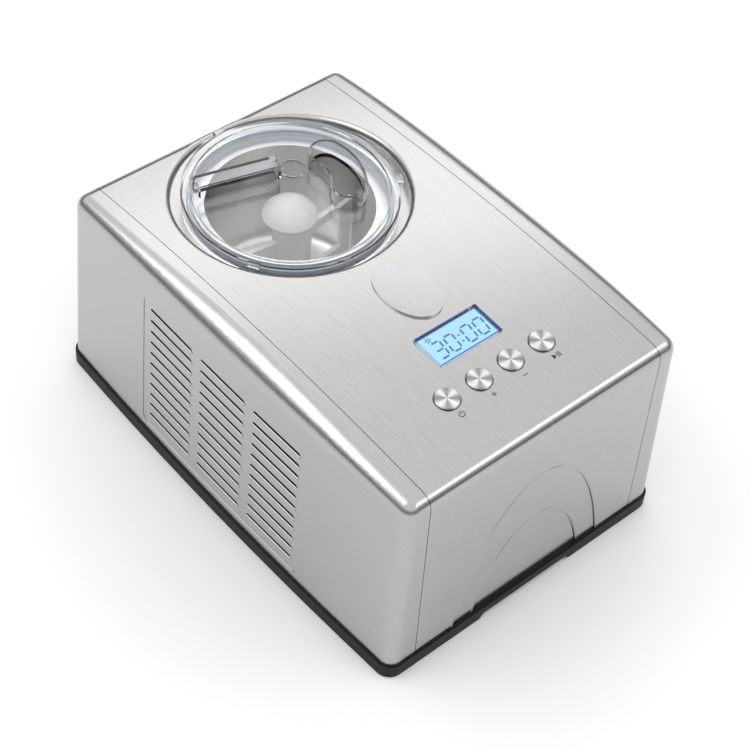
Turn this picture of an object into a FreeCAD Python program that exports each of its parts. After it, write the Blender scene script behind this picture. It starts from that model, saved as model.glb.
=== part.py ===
import FreeCAD, Part
import math
import os
from types import SimpleNamespace

import Sketcher

# Compressor ice cream maker with a lift-out bowl at the back and a control deck at the front.
# Millimetres, +Z up, front towards -Y, origin on the floor under the middle of the base.

# Driving dimensions, one spreadsheet cell each
SIZES = {
    # Base tray and feet
    "base_half_width": 135.0, "side_bulge": 5.2, "base_half_depth": 197.4, "base_top": 12.7,
    "base_bottom": 1.0, "base_floor": 3.0, "lip_height": 7.3, "lip_wall": 2.0, "lip_gap": 0.5,
    "notch_half_foot": 47.0, "notch_half_head": 42.0, "notch_height": 4.5, "foot_radius": 10.0,
    "foot_seat": 2.0, "foot_edge": 1.0, "foot_gap": 0.2, "foot_side": 30.0, "foot_end": 32.4,
    # Pressed steel housing
    "sheet": 1.0, "skin_inset": 1.7, "draft": 1.75, "loft_height": 200.0, "crown_front": 184.0,
    "crown_back": 179.3, "crown_rise": 8.7, "crown_end": 7.3, "edge_round": 10.5, "side_round": 17.0,
    "seam_side": 26.0, "seam_gap": 0.5, "back_joint": 165.0, "arch_centre_drop": 60.0, "arch_height": 192.0,
    "arch_half_width": 80.0, "inner_arch_drop": 30.0, "inner_arch_height": 115.0,
    "inner_arch_half_width": 58.0, "arch_step": 0.9, "recess_radius": 90.0, "recess_floor": 177.0,
    "recess_lip": 4.0, "panel_hole": 78.0,
    # Side vents
    "vent_length": 51.0, "vent_width": 4.6, "vent_pitch": 11.35, "vent_low": 32.5,
    "vent_column_pitch": 61.0, "louvre_radius": 0.9, "louvre_sink": 0.7, "louvre_bite": 0.6,
    "frame_half": 95.0, "frame_low": 20.0, "frame_high": 156.0, "frame_corner": 7.0, "frame_depth": 0.4,
    # Badge, gland and back screws
    "badge_half_width": 21.0, "badge_half_length": 31.0, "badge_behind_deck": 81.0, "badge_proud": 1.3,
    "gland_x": 70.0, "gland_z": 36.0, "gland_radius": 6.0, "gland_flange": 9.0, "gland_bore": 3.8,
    "gland_fit": 0.1, "screw_radius": 1.5, "screw_head": 3.2, "screw_head_height": 1.7, "screw_fit": 0.15,
    "screw_length": 7.5, "back_screw_z": 16.6, "back_screw_pitch": 75.0,
    # Control deck
    "deck_from_front": 76.4, "deck_reach": 30.0, "window_half_width": 29.2, "window_half_depth": 14.8,
    "window_y": 26.3, "window_proud": 1.0, "window_flange": 2.0, "window_flange_height": 1.2,
    "cutout_gap": 0.2, "display_height": 5.0, "display_margin": 1.2, "button_radius": 9.6,
    "button_gap": 0.5, "button_pitch": 29.8, "button_row": -12.1, "button_proud": 1.7,
    "button_flange": 11.3, "button_flange_height": 1.5, "button_stem": 4.0, "button_edge": 0.6,
    "button_dish": 0.5, "button_seat": 1.6, "button_depth": 5.8, "stem_gap": 0.3,
    "carrier_half_width": 64.0, "carrier_half_depth": 11.0, "carrier_top": 5.0, "carrier_height": 2.0,
    "board_drop": 12.0, "board_height": 1.6, "board_half_width": 66.0, "board_front": -26.0,
    "board_back": 46.0, "post_radius": 3.4, "post_drop": 1.5, "post_x": 61.0, "post_back": 42.0,
    "switch_half": 3.0, "switch_height": 4.2, "plunger_radius": 1.7, "plunger_height": 0.5,
    "board_screw_radius": 1.3,
    # Bowl, tank and lid
    "bowl_from_back": 15.9, "bowl_radius": 66.2, "bowl_wall": 1.5, "bowl_bottom": 76.4,
    "bowl_rim_top": 174.0, "bowl_rim_radius": 69.0, "bowl_corner": 10.0, "column_radius": 9.5,
    "column_top_radius": 8.5, "column_bore": 6.5, "column_top": 150.0, "tank_gap": 1.0, "tank_wall": 1.5,
    "tank_floor": 2.0, "tank_flange": 79.0, "floor_gap": 0.4, "collar_radius": 75.0, "collar_wall": 2.5,
    "collar_top": 180.5, "collar_flange": 87.0, "collar_flange_height": 2.0, "foam_radius": 88.0,
    "foam_gap": 0.3, "coil_depth": 4.6, "coil_height": 7.0, "coil_pitch": 13.0, "coil_low": 84.0,
    "coil_round": 4.2, "lid_radius": 82.5, "lid_inner": 74.4, "lid_wall": 2.0, "lid_top": 189.0,
    "lid_plate_top": 183.5, "lid_plate": 2.5, "lid_gap": 0.3, "chute_arc": 43.0, "chute_half": 14.0,
    "chute_start": -42.0, "chute_sweep": 55.0, "chute_wall": 2.0, "chute_height": 13.5, "grip_length": 66.0,
    "grip_width": 13.0, "grip_height": 13.0, "grip_x": -57.5, "grip_y": 41.4, "grip_angle": -15.3,
    "grip_wall": 1.8, "cut_margin": 1.0, "spot_x": 19.0, "spot_y": 21.0, "spot_radius": 10.0,
    "spot_height": 1.0, "lug_width": 9.0, "lug_reach": 3.0, "lug_height": 3.0, "lug_angle": 92.5,
    # Paddle
    "paddle_bore": 10.2, "paddle_sleeve": 12.6, "paddle_low": 82.0, "hub_radius": 21.5, "hub_low": 160.0,
    "hub_edge": 163.0, "hub_top": 176.0, "paddle_roof": 152.0, "blade_radius": 62.0, "blade_top": 148.0,
    "blade_thick": 4.0, "blade_rim": 9.0, "blade_foot": 8.0, "socket_gap": 0.5,
    # Drive
    "shaft_radius": 5.0, "shaft_low": 33.2, "shaft_square": 7.0, "shaft_square_length": 15.0,
    "run_gap": 0.05, "fit_gap": 0.02, "tooth_module": 2.0, "tooth_foot": 0.27, "tooth_tip": 0.11,
    "tooth_root": 1.25, "neck_share": 0.6, "gear_width": 8.0, "gear_gap": 2.0, "output_teeth": 48,
    "idler_small": 10, "idler_big": 32, "pinion_teeth": 10, "gearbox_floor_low": 33.0, "gearbox_floor": 3.0,
    "gearbox_cover_low": 59.0, "gearbox_cover": 3.0, "gearbox_wall": 3.0, "gearbox_clear": 3.0,
    "gearbox_reach": 61.5, "ear_radius": 4.0, "idler_pin": 3.0, "motor_radius": 27.0, "motor_low": 6.5,
    "motor_shaft": 3.0, "leg_radius": 6.0, "leg_x": 44.0, "bush_radius": 9.0, "bush_flange": 13.0,
    "bush_flange_height": 4.0, "seal_height": 3.5,
    # Cooling circuit
    "can_x": -55.0, "chamber_from_front": 92.4, "can_radius": 50.0, "can_low": 16.5, "can_top": 140.0,
    "can_dome": 16.0, "can_seam": 2.5, "can_seam_height": 4.0, "foot_reach": 61.0, "plate_height": 2.5,
    "grommet_radius": 9.0, "grommet_neck": 5.0, "grommet_cap": 3.5, "bolt_radius": 2.9, "bolt_head": 5.0,
    "bolt_head_height": 4.0, "fan_x": 66.0, "shroud_half": 56.0, "shroud_plate": 3.0, "shroud_ring": 50.0,
    "shroud_ring_wall": 2.0, "shroud_depth": 22.0, "fan_radius": 45.0, "fan_hub": 15.0,
    "fan_hub_height": 14.0, "blade_pitch_angle": 35.0, "blade_chord": 22.0, "fan_blade": 1.6,
    "fan_pin": 2.0, "fan_motor_radius": 17.0, "fan_motor_length": 26.0, "spider_width": 6.0,
    "fan_axial_gap": 1.0, "condenser_thick": 24.0, "condenser_half": 54.0, "condenser_top": 114.0,
    "fin_count": 19, "fin_thick": 0.8, "tube_radius": 3.0, "tube_rows": 4, "drier_x": 20.0,
    "drier_radius": 7.0, "drier_length": 30.0, "drier_taper": 7.0, "pipe_radius": 2.5, "pipe_bend": 9.0,
    "capillary_radius": 1.2, "capillary_bend": 5.0, "riser_x": 12.0, "crossing_from_bowl": 127.5,
}

doc = FreeCAD.newDocument("ice_cream_maker")
sheet = doc.addObject("Spreadsheet::Sheet", "Sizes")
for row, (alias, amount) in enumerate(SIZES.items(), start=1):
    sheet.set("A%d" % row, alias)
    sheet.set("B%d" % row, str(amount))
    sheet.setAlias("B%d" % row, alias)
doc.recompute()

V = FreeCAD.Vector
NODES = []
BUTTONS = ["power_button", "time_up_button", "time_down_button", "start_stop_button"]
VENT_COLUMNS = 3
VENT_ROWS = 11
COIL_TURNS = 6
FAN_BLADES = 5
LID_LUGS = 3
THIRDS = (90, 210, 330)

# Tests that pick out edges: how near the ends, how steep, how close, and where along a rim
END_SHARE = 0.8
UPRIGHT = 5
TOUCH = 0.1
SAME = 1e-6
RIM_STEPS = (0.1, 0.5, 0.9)


class Size:
    """A number together with the spreadsheet expression that gives it."""

    def __init__(self, value, text):
        self.value = float(value)
        self.text = text

    def join(self, other, sign, value, swap=False):
        pair = (other.text, self.text) if swap else (self.text, other.text)
        return Size(value, "(%s %s %s)" % (pair[0], sign, pair[1]))

    def __add__(self, other):
        other = sized(other)
        return self.join(other, "+", self.value + other.value)

    def __sub__(self, other):
        other = sized(other)
        return self.join(other, "-", self.value - other.value)

    def __mul__(self, other):
        other = sized(other)
        return self.join(other, "*", self.value * other.value)

    def __truediv__(self, other):
        other = sized(other)
        return self.join(other, "/", self.value / other.value)

    def __rsub__(self, other):
        other = sized(other)
        return self.join(other, "-", other.value - self.value, swap=True)

    def __neg__(self):
        return Size(-self.value, "(0 - %s)" % self.text)

    __radd__ = __add__
    __rmul__ = __mul__


def sized(value):
    return value if isinstance(value, Size) else Size(value, repr(float(value)))


def num(value):
    return value.value if isinstance(value, Size) else float(value)


def root(value):
    return Size(math.sqrt(value.value), "sqrt(%s)" % value.text)


def tangent(value):
    return Size(math.tan(math.radians(value.value)), "tan(%s)" % value.text)


def cosine(value):
    return Size(math.cos(math.radians(value.value)), "cos(%s)" % value.text)


def sine(value):
    return Size(math.sin(math.radians(value.value)), "sin(%s)" % value.text)


size = SimpleNamespace(**{alias: Size(amount, "Sizes." + alias) for alias, amount in SIZES.items()})


# Building helpers
def bind(obj, prop, value):
    value = sized(value)
    obj.setExpression(prop, value.text)


def place(obj, x=0, y=0, z=0):
    for axis, value in zip("xyz", (x, y, z)):
        bind(obj, "Placement.Base." + axis, value)
    return obj


def box(name, length, width, height, x=0, y=0, z=0):
    obj = doc.addObject("Part::Box", name)
    for prop, value in (("Length", length), ("Width", width), ("Height", height)):
        bind(obj, prop, value)
    return place(obj, x, y, z)


def centred_box(name, half_x, half_y, height, x=0, y=0, z=0):
    return box(name, sized(half_x) * 2, sized(half_y) * 2, height, sized(x) - half_x, sized(y) - half_y, z)


def bar(name, length, half, height, x, y, z, angle):
    """Box that runs from a point in a level direction, centred across that direction."""
    obj = box(name, length, sized(half) * 2, height)
    angle = sized(angle)
    obj.Placement = FreeCAD.Placement(V(), FreeCAD.Rotation(V(0, 0, 1), num(angle)))
    return place(obj, sized(x) + sine(angle) * half, sized(y) - cosine(angle) * half, z)


AXIS_TURN = {"Z": FreeCAD.Rotation(), "X": FreeCAD.Rotation(V(0, 1, 0), 90),
"Y": FreeCAD.Rotation(V(1, 0, 0), -90)}


def cylinder(name, radius, height, x=0, y=0, z=0, axis="Z"):
    obj = doc.addObject("Part::Cylinder", name)
    obj.Placement = FreeCAD.Placement(V(), AXIS_TURN[axis])
    bind(obj, "Radius", radius)
    bind(obj, "Height", height)
    return place(obj, x, y, z)


def fuse(name, *parts):
    obj = doc.addObject("Part::MultiFuse", name)
    obj.Shapes = list(parts)
    return obj


def cut(name, base, *tools):
    obj = doc.addObject("Part::Cut", name)
    obj.Base = base
    obj.Tool = tools[0] if len(tools) == 1 else fuse(name + "_tools", *tools)
    return obj


def common(name, base, tool):
    obj = doc.addObject("Part::Common", name)
    obj.Base = base
    obj.Tool = tool
    return obj


def group(name, parts):
    obj = doc.addObject("Part::Compound", name)
    obj.Links = list(parts)
    return obj


def node(obj, label):
    obj.Label = label
    NODES.append(obj)
    return obj


def origin_plane(body, role):
    return next(item for item in body.Origin.OriginFeatures if item.Role == role)


def arc_between(start, end, radius):
    """Short arc of a signed radius: positive bends to the left of the way it runs."""
    chord = end - start
    half = chord.Length / 2
    rise = abs(radius) - math.sqrt(max(radius * radius - half * half, 0.0))
    left = V(-chord.y, chord.x, 0).normalize()
    middle = (start + end) / 2 - left * math.copysign(rise, radius)
    return Part.Arc(start, middle, end) if radius > 0 else Part.Arc(end, middle, start)


def draw(sketch, points):
    """Closed outline through bound points; a third item makes the next stretch an arc."""
    corners = [V(num(p[0]), num(p[1]), 0) for p in points]
    count = len(points)
    for i, point in enumerate(points):
        start, end = corners[i], corners[(i + 1) % count]
        if len(point) == 3:
            sketch.addGeometry(arc_between(start, end, num(point[2])))
        else:
            sketch.addGeometry(Part.LineSegment(start, end))

    def tip(i, corner):
        return 1 if sketch.Geometry[i].StartPoint.distanceToPoint(corner) < SAME else 2

    for i, point in enumerate(points):
        following = (i + 1) % count
        here = tip(i, corners[i])
        sketch.addConstraint(Sketcher.Constraint(
            "Coincident", i, 3 - here, following, tip(following, corners[following])))
        for kind, value, datum in (("DistanceX", point[0], -2), ("DistanceY", point[1], -1)):
            if num(value) == 0:
                sketch.addConstraint(Sketcher.Constraint("PointOnObject", i, here, datum))
            else:
                index = sketch.addConstraint(Sketcher.Constraint(kind, i, here, num(value)))
                sketch.setExpression("Constraints[%d]" % index, sized(value).text)
        if len(point) == 3:
            index = sketch.addConstraint(Sketcher.Constraint("Radius", i, abs(num(point[2]))))
            radius = sized(point[2])
            sketch.setExpression("Constraints[%d]" % index,
                                 radius.text if radius.value > 0 else (-radius).text)
    return sketch


def body_sketch(body, name, role, points, offset=0):
    sketch = body.newObject("Sketcher::SketchObject", name)
    sketch.AttachmentSupport = [(origin_plane(body, role), "")]
    sketch.MapMode = "FlatFace"
    bind(sketch, "AttachmentOffset.Base.z", offset)
    return draw(sketch, points)


def revolved(name, points, x=0, y=0, z=0):
    """Turned piece from a radius and height profile."""
    body = doc.addObject("PartDesign::Body", name)
    sketch = body_sketch(body, name + "_profile", "XZ_Plane", points)
    turn = body.newObject("PartDesign::Revolution", name + "_turn")
    turn.Profile = sketch
    turn.ReferenceAxis = (sketch, ["V_Axis"])
    turn.Angle = 360
    return place(body, x, y, z)


def padded(name, points, height, role="XY_Plane", offset=0, both_ways=False):
    """Body with one padded outline."""
    body = doc.addObject("PartDesign::Body", name)
    sketch = body_sketch(body, name + "_outline", role, points, offset)
    pad = body.newObject("PartDesign::Pad", name + "_pad")
    pad.Profile = sketch
    pad.Midplane = both_ways
    bind(pad, "Length", height)
    return body


def rounded(name, base, pick):
    """Fillet of the edges for which pick gives a radius, or a pair of radii."""
    doc.recompute()
    rows = []
    for index, edge in enumerate(base.Shape.Edges, start=1):
        radii = pick(edge)
        if radii:
            first, last = radii if isinstance(radii, tuple) else (radii, radii)
            rows.append((index, num(first), num(last)))
    obj = doc.addObject("Part::Fillet", name)
    obj.Base = base
    obj.Edges = rows
    doc.recompute()
    return obj


# Places that follow from the base's outline
crown_half_span = size.base_half_depth - size.crown_end
seam = size.base_half_width - size.seam_side
foot_x = size.base_half_width - size.foot_side
foot_y = size.base_half_depth - size.foot_end
bowl_y = size.base_half_depth - size.bowl_from_back - size.recess_radius
deck_y = size.deck_from_front - size.base_half_depth
badge_y = deck_y + size.badge_behind_deck
chamber_y = size.chamber_from_front - size.base_half_depth
gearbox_front = bowl_y - size.gearbox_reach
crossing_y = bowl_y - size.crossing_from_bowl

# Housing shape shared by every cover
span_chord = root(crown_half_span * crown_half_span * 4
                  + (size.crown_front - size.crown_back) * (size.crown_front - size.crown_back))
crown_radius = (span_chord * span_chord / 4 + size.crown_rise * size.crown_rise) / (size.crown_rise * 2)
crown_y = (size.crown_back - size.crown_front) / span_chord * (crown_radius - size.crown_rise)
crown_z = ((size.crown_front + size.crown_back) / 2
           - crown_half_span * 2 / span_chord * (crown_radius - size.crown_rise))
lean = tangent(size.draft)
# Longer than the machine, for cutters that pass right through
wide = 400
ground = size.base_bottom + size.base_floor
fan_z = ground + size.shroud_half
condenser_x = size.fan_x + size.shroud_depth + size.shroud_plate


def crown_height(y):
    offset = sized(y) - crown_y
    return crown_z + root(crown_radius * crown_radius - offset * offset)


def crown_slope(y):
    ratio = (crown_y - y) / crown_radius
    return Size(math.degrees(math.asin(ratio.value)), "asin(%s)" % ratio.text)


def front_wall(z, inset=0):
    """Distance of the front and back walls from the middle, at a height."""
    return size.base_half_depth - size.skin_inset - inset - (sized(z) - size.base_top) * lean


def plan_sketch(name, inset, z, beyond=0):
    """Plan outline with the two long sides bowed outwards, its ends carried on a little if asked."""
    depth = size.base_half_depth - inset
    bow = (depth * depth + size.side_bulge * size.side_bulge) / (size.side_bulge * 2)
    depth = depth + beyond
    middle = size.base_half_width - inset + size.side_bulge
    half = middle - bow + root(bow * bow - depth * depth)
    sketch = doc.addObject("Sketcher::SketchObject", name)
    bind(sketch, "Placement.Base.z", z)
    return draw(sketch, [(-half, -depth), (half, -depth, bow), (middle, 0, bow), (half, depth),
                         (-half, depth, bow),
                         (-middle, 0, bow)])


def plan_block(name, inset, low, high, taper=0, beyond=0):
    sections = [plan_sketch(name + "_low", inset, low, beyond),
                plan_sketch(name + "_high", inset + (sized(high) - low) * taper, high, beyond)]
    loft = doc.addObject("Part::Loft", name)
    loft.Sections = sections
    loft.Solid = True
    loft.Ruled = True
    return loft


def is_corner(edge):
    bounds = edge.BoundBox
    near_end = abs(bounds.Center.y) > num(size.base_half_depth) * END_SHARE
    return near_end and bounds.ZLength > UPRIGHT * max(bounds.XLength, bounds.YLength, TOUCH)


def tray_block(name, inset, low, high):
    block = plan_block(name + "_block", inset, low, high)
    return rounded(name, block, lambda edge: is_corner(edge) and size.edge_round + size.skin_inset - inset)


def envelope(name, inset):
    """Housing volume: drafted walls, crowned top, rounded edges, bowl recess and front arches."""
    high = size.base_top + size.loft_height
    sides = plan_block(name + "_sides", size.skin_inset + inset, size.base_top, high, lean, size.edge_round)
    foot, head = front_wall(size.base_top, inset), front_wall(high, inset)
    ends = padded(name + "_ends", [(-foot, size.base_top), (foot, size.base_top), (head, high),
                                   (-head, high)], wide * 2,
                  "YZ_Plane", 0, True)
    crown = cylinder(name + "_crown", crown_radius - inset, wide * 2, -wide, crown_y, crown_z, "X")
    topped = common(name + "_topped", common(name + "_walls", sides, ends), crown)
    corner = size.edge_round - inset
    middle = size.side_round - inset

    def pick(edge):
        bounds = edge.BoundBox
        if is_corner(edge):
            return corner
        if bounds.ZMin < num(size.back_joint):
            return None
        if bounds.YLength < num(size.base_half_depth) / 2:
            return corner
        ends = [edge.valueAt(edge.FirstParameter), edge.valueAt(edge.LastParameter)]
        return tuple(middle if abs(point.y) < TOUCH else corner for point in ends)

    solid = rounded(name + "_rounded", topped, pick)
    recess = cylinder(name + "_recess", size.recess_radius + inset, wide, 0, bowl_y,
                      size.recess_floor - inset)
    dished = cut(name + "_dished", solid, recess)
    reach = num(size.recess_radius + inset)

    def pick_rim(edge):
        spots = [edge.valueAt(edge.FirstParameter + (edge.LastParameter - edge.FirstParameter) * step)
                 for step in RIM_STEPS]
        on_rim = all(abs(math.hypot(p.x, p.y - num(bowl_y)) - reach) < TOUCH for p in spots)
        above = min(p.z for p in spots) > num(size.recess_floor)
        return on_rim and above and edge.BoundBox.XLength > TOUCH and size.recess_lip + inset

    rim = rounded(name + "_rim", dished, pick_rim)
    steps = []
    for label, drop, rise, half, count in (
            ("outer", size.arch_centre_drop, size.arch_height, size.arch_half_width, 1),
            ("inner", size.inner_arch_drop, size.inner_arch_height, size.inner_arch_half_width, 2)):
        steps.append(arch_tool("%s_%s_arch" % (name, label), drop, rise, half,
                               size.arch_step * count + inset))
    return cut(name, rim, *steps)


def arch_tool(name, drop, rise, half, depth):
    """Elliptical arch that sinks to a depth below the leaning front wall."""
    oval = doc.addObject("Part::Ellipse", name + "_oval")
    bind(oval, "MajorRadius", rise)
    bind(oval, "MinorRadius", half)
    upright = FreeCAD.Rotation(V(0, 0, 1), V(1, 0, 0), V(0, 1, 0), "XYZ")
    oval.Placement = FreeCAD.Placement(V(), FreeCAD.Rotation(V(1, 0, 0), -num(size.draft)) * upright)
    place(oval, 0, -front_wall(-drop), -drop)
    prism = doc.addObject("Part::Extrusion", name)
    prism.Base = oval
    prism.DirMode = "Normal"
    prism.Solid = True
    bind(prism, "LengthFwd", depth)
    bind(prism, "LengthRev", size.skin_inset)
    return prism


# Covers, panels and base
def vent_cutter():
    """Rows of round-ended slots, three columns wide, through both side walls."""
    slots = []
    straight = size.vent_length - size.vent_width
    radius = size.vent_width / 2
    reach = size.base_half_width + size.side_bulge
    for column in range(VENT_COLUMNS):
        y = size.vent_column_pitch * (column - (VENT_COLUMNS - 1) / 2) - straight / 2
        for line in range(VENT_ROWS):
            z = size.vent_low + size.vent_pitch * line
            tag = "vent_%d_%d" % (column, line)
            slots.append(box(tag, reach * 2, straight, size.vent_width, -reach, y, z - radius))
            for end in (0, 1):
                slots.append(cylinder("%s_end%d" % (tag, end), radius, reach * 2, -reach,
                                      y + straight * end, z, "X"))
    return fuse("side_vents", *slots)


def side_wall(y, z):
    """Outer distance of a side wall from the middle at a place, and the radius of its bow there."""
    inset = size.skin_inset + (z - size.base_top) * lean
    depth = size.base_half_depth - inset
    bow = (depth * depth + size.side_bulge * size.side_bulge) / (size.side_bulge * 2)
    return size.base_half_width - inset + size.side_bulge - bow + root(bow * bow - y * y), bow


def louvre_lips(label, side):
    """Rolled lower edge of every vent slot, a round bar that follows the wall."""
    lips = []
    half_slot, rise = size.vent_width / 2, size.vent_width / 2 - size.louvre_radius
    end = root(half_slot * half_slot - rise * rise) + size.louvre_bite
    length = size.vent_length - size.vent_width + end * 2
    for column in range(VENT_COLUMNS):
        y = size.vent_column_pitch * (column - (VENT_COLUMNS - 1) / 2)
        for line in range(VENT_ROWS):
            z = size.vent_low + size.vent_pitch * line - rise
            wall, bow = side_wall(y, z)
            slope = y / bow * side
            rod = cylinder("%s_lip_%d_%d" % (label, column, line), size.louvre_radius, length)
            turn = FreeCAD.Rotation(V(0, 0, 1), math.degrees(math.asin(num(slope))))
            rod.Placement = FreeCAD.Placement(V(), turn * AXIS_TURN["Y"])
            lips.append(place(rod, (wall - size.louvre_sink) * side + slope * length / 2, y - length / 2, z))
    return lips


def pressed_frame(outer):
    """Thin layer of the side walls inside a round-cornered frame."""
    block = box("frame_block", wide * 2, size.frame_half * 2, size.frame_high - size.frame_low, -wide,
                -size.frame_half,
                size.frame_low)
    window = rounded("frame_window", block, lambda edge: edge.BoundBox.XLength > wide and size.frame_corner)
    return common("pressed_frame", cut("pressed_layer", outer, envelope("pressed", size.frame_depth)), window)


def back_screw_spots():
    return [size.back_screw_pitch * step for step in (-1, 0, 1)]


def make_housing():
    outer = envelope("outer", 0)
    inner = envelope("inner", size.sheet)
    skin = cut("skin", outer, inner)
    edge = seam + size.seam_gap / 2
    inside = seam - size.seam_gap / 2
    reach = size.base_half_width * 2
    vents = vent_cutter()
    pressed = pressed_frame(outer)
    for label, side in (("left_cover", -1), ("right_cover", 1)):
        x = edge if side > 0 else -edge - reach
        half = common(label + "_half", skin, box(label + "_side", reach, wide * 2, wide, x, -wide, 0))
        vented = cut(label + "_vented", half, pressed, vents)
        node(fuse(label, vented, *louvre_lips(label, side)), label)

    strip = common("middle_strip", skin, centred_box("middle_band", inside, wide, wide))
    back_zone = box("back_zone", seam * 2, wide, size.back_joint, -seam, 0, 0)
    opening = cylinder("panel_opening", size.panel_hole, wide, 0, bowl_y, 0)
    node(cut("top_front_panel", strip, back_zone, opening, *deck_cutters()), "top_front_panel")

    low_back = box("back_window", seam * 2, wide, size.back_joint - size.seam_gap, -seam, 0, 0)
    sheet_back = common("back_sheet", strip, low_back)
    holes = [cylinder("back_screw_hole_%d" % i, size.screw_radius + size.screw_fit, wide, x, 0,
                      size.back_screw_z, "Y")
             for i, x in enumerate(back_screw_spots())]
    holes.append(cylinder("gland_hole", size.gland_radius + size.gland_fit, wide, size.gland_x, 0,
                          size.gland_z, "Y"))
    node(cut("back_panel", sheet_back, *holes), "back_panel")

    oval = doc.addObject("Part::Ellipse", "badge_oval")
    bind(oval, "MajorRadius", size.badge_half_length)
    bind(oval, "MinorRadius", size.badge_half_width)
    oval.Placement = FreeCAD.Placement(V(), FreeCAD.Rotation(V(0, 0, 1), 90))
    place(oval, 0, badge_y, size.recess_floor)
    plug = doc.addObject("Part::Extrusion", "badge_plug")
    plug.Base = oval
    plug.DirMode = "Normal"
    plug.Solid = True
    bind(plug, "LengthFwd", crown_height(badge_y) + size.badge_proud - size.recess_floor)
    node(cut("badge_plate", plug, outer), "badge_plate")


def make_base():
    inner_face = size.skin_inset + size.sheet + size.lip_gap
    rim = tray_block("base_rim", 0, size.base_bottom, size.base_top)
    lip = tray_block("base_lip", inner_face, size.base_top, size.base_top + size.lip_height)
    cavity = tray_block("base_cavity", inner_face + size.lip_wall, ground,
                        size.base_top + size.lip_height + size.lip_gap)
    notch = padded("base_notch", [(-size.notch_half_foot, 0), (size.notch_half_foot, 0),
                                  (size.notch_half_head, size.notch_height + size.base_bottom),
                                  (-size.notch_half_head, size.notch_height + size.base_bottom)],
                   inner_face, "XZ_Plane")
    place(notch, 0, -size.base_half_depth + inner_face, 0)
    arch_room = centred_box("arch_room", size.arch_half_width + size.lip_gap, inner_face + size.lip_wall,
                            size.lip_height,
                            0, -size.base_half_depth, size.base_top)
    tools = [cavity, notch, arch_room]
    for i, (x, y) in enumerate(foot_spots()):
        tools.append(cylinder("foot_seat_%d" % i, size.foot_radius + size.foot_gap, size.foot_seat, x, y,
                              size.base_bottom))
    for i, x in enumerate(back_screw_spots()):
        tools.append(cylinder("lip_pilot_%d" % i, size.screw_radius + size.screw_fit, wide, x, 0,
                              size.back_screw_z,
                              "Y"))
    node(cut("base_tray", fuse("base_shell", rim, lip), *tools), "base_tray")
    height = size.base_bottom + size.foot_seat
    feet = [revolved("foot_%d" % i, [(0, 0), (size.foot_radius - size.foot_edge, 0),
                                     (size.foot_radius, size.foot_edge),
                                     (size.foot_radius, height), (0, height)], x, y)
            for i, (x, y) in enumerate(foot_spots())]
    node(group("rubber_feet", feet), "rubber_feet")


def foot_spots():
    return [(foot_x * i, foot_y * j) for j in (-1, 1) for i in (-1, 1)]


def make_back_hardware():
    wall = front_wall(size.back_screw_z)
    stand = size.screw_head * lean
    screws = []
    for i, x in enumerate(back_screw_spots()):
        shank = cylinder("back_shank_%d" % i, size.screw_radius, size.screw_length + stand, x,
                         wall - size.screw_length,
                         size.back_screw_z, "Y")
        head = cylinder("back_head_%d" % i, size.screw_head, size.screw_head_height, x, wall + stand,
                        size.back_screw_z, "Y")
        screws.append(fuse("back_screw_%d" % i, shank, head))
    node(group("back_screws", screws), "back_screws")
    gland_wall = front_wall(size.gland_z)
    play = size.gland_flange * lean
    rim = size.screw_head_height
    body = revolved("cable_gland", [
        (size.gland_bore, -size.gland_radius), (size.gland_radius, -size.gland_radius),
        (size.gland_radius, play),
        (size.gland_flange, play), (size.gland_flange, play + rim / 2),
        (size.gland_flange - rim / 2, play + rim), (size.gland_bore, play + rim)])
    body.Placement = FreeCAD.Placement(V(), FreeCAD.Rotation(V(1, 0, 0), -90))
    place(body, size.gland_x, gland_wall, size.gland_z)
    node(body, "cable_gland")


# Control deck, built flat and then laid on the crowned top
def on_deck(obj, x=0, y=0):
    angle = crown_slope(deck_y)
    obj.Placement = FreeCAD.Placement(V(), FreeCAD.Rotation(V(1, 0, 0), num(angle)))
    bind(obj, "Placement.Rotation.Angle", angle)
    return place(obj, x, deck_y + y * cosine(angle), crown_height(deck_y) + y * sine(angle))


def button_spots():
    return [size.button_pitch * (step - (len(BUTTONS) - 1) / 2) for step in range(len(BUTTONS))]


def deck_cutters():
    reach = size.deck_reach
    cutters = [centred_box("window_cutter", size.window_half_width + size.cutout_gap,
                           size.window_half_depth + size.cutout_gap, reach * 2, 0, size.window_y, -reach)]
    for name, x in zip(BUTTONS, button_spots()):
        cutters.append(cylinder(name + "_cutter", size.button_radius + size.button_gap, reach * 2, x,
                                size.button_row,
                                -reach))
    return [on_deck(fuse("deck_cutters", *cutters))]


def post_spots():
    return [(size.post_x * side, y) for y in (size.button_row, size.post_back) for side in (-1, 1)]


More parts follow.
